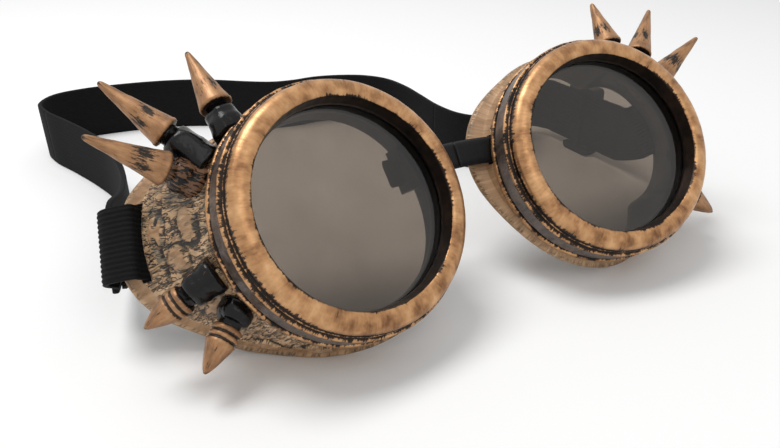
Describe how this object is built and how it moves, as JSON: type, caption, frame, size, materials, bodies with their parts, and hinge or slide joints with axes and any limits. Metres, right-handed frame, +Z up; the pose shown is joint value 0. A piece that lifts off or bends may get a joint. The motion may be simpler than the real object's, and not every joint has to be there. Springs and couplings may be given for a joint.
{
  "type": "steampunk goggles",
  "caption": "Round two-eye goggles with flared spiked cups, screw caps over tinted lenses, a nose strip and an elastic head strap.",
  "frame": {"origin": "on the table, under the middle of the whole object", "axes": "+X to the right seen from the front, +Y to the back where the strap lies, +Z up from the table"},
  "size_m": [0.1846, 0.1923, 0.0628],
  "materials": {
    "copper_paint": "brushed copper paint over dark patina",
    "copper_spike": "brushed copper paint",
    "tinted_lens": "dark tinted, glossy",
    "gasket_rubber": "matt black",
    "black_plastic": "satin black",
    "bridge_rubber": "satin black strip",
    "elastic": "woven ribbed elastic"
  },
  "bodies": {
    "bridge": {"bridge_strip": "bridge_rubber", "left_strap_run": "elastic", "back_strap_run": "elastic", "right_strap_run": "elastic"},
    "left_eye": {"left_cup": "copper_paint", "left_spike_top": "copper_spike", "left_spike_upper": "copper_spike", "left_spike_side": "copper_spike", "left_stud_upper": "copper_spike", "left_stud_lower": "copper_spike", "left_bridge_stop": "black_plastic", "left_strap_end": "elastic"},
    "left_lens_stack": {"left_lens": "tinted_lens", "left_gasket": "gasket_rubber"},
    "left_screw_cap": {"left_cap": "copper_paint"},
    "right_eye": {"right_cup": "copper_paint", "right_spike_top": "copper_spike", "right_spike_upper": "copper_spike", "right_spike_side": "copper_spike", "right_stud_upper": "copper_spike", "right_stud_lower": "copper_spike", "right_bridge_stop": "black_plastic", "right_strap_end": "elastic"},
    "right_lens_stack": {"right_lens": "tinted_lens", "right_gasket": "gasket_rubber"},
    "right_screw_cap": {"right_cap": "copper_paint"},
    "slider": {"strap_slider": "black_plastic"}
  },
  "joints": [
    {"name": "left_cup_swing", "type": "hinge", "parent": "bridge", "child": "left_eye", "pos_m": [-0.00873, -0.06114, 0.03296], "axis": [0, 0.606, 0.7955], "range_deg": [-12, 20], "stiffness_Nm_per_rad": 0.3, "deforming": ["bridge_strip", "left_strap_run"]},
    {"name": "left_cap_travel", "type": "slide", "parent": "left_eye", "child": "left_lens_stack", "axis": [0.1265, -0.7854, 0.606], "range_m": [0, 0.00241]},
    {"name": "left_cap_turn", "type": "hinge", "parent": "left_lens_stack", "child": "left_screw_cap", "pos_m": [-0.03725, -0.079, 0.0364], "axis": [0.1265, -0.7854, 0.606], "range_deg": [0, 540]},
    {"name": "right_cup_swing", "type": "hinge", "parent": "bridge", "child": "right_eye", "pos_m": [0.00873, -0.06114, 0.03296], "axis": [0, 0.606, 0.7955], "range_deg": [-20, 12], "stiffness_Nm_per_rad": 0.3, "deforming": ["bridge_strip", "right_strap_run"]},
    {"name": "right_cap_travel", "type": "slide", "parent": "right_eye", "child": "right_lens_stack", "axis": [-0.1265, -0.7854, 0.606], "range_m": [0, 0.00241]},
    {"name": "right_cap_turn", "type": "hinge", "parent": "right_lens_stack", "child": "right_screw_cap", "pos_m": [0.03725, -0.079, 0.0364], "axis": [-0.1265, -0.7854, 0.606], "range_deg": [0, 540]},
    {"name": "slider_travel", "type": "slide", "parent": "bridge", "child": "slider", "axis": [0, 1, 0], "range_m": [0, 0.009]}
  ],
  "couplings": [
    {"joint": "left_cap_travel", "follows": "left_cap_turn", "m_per_rad": 0.00025465},
    {"joint": "right_cap_travel", "follows": "right_cap_turn", "m_per_rad": 0.00025465}
  ]
}
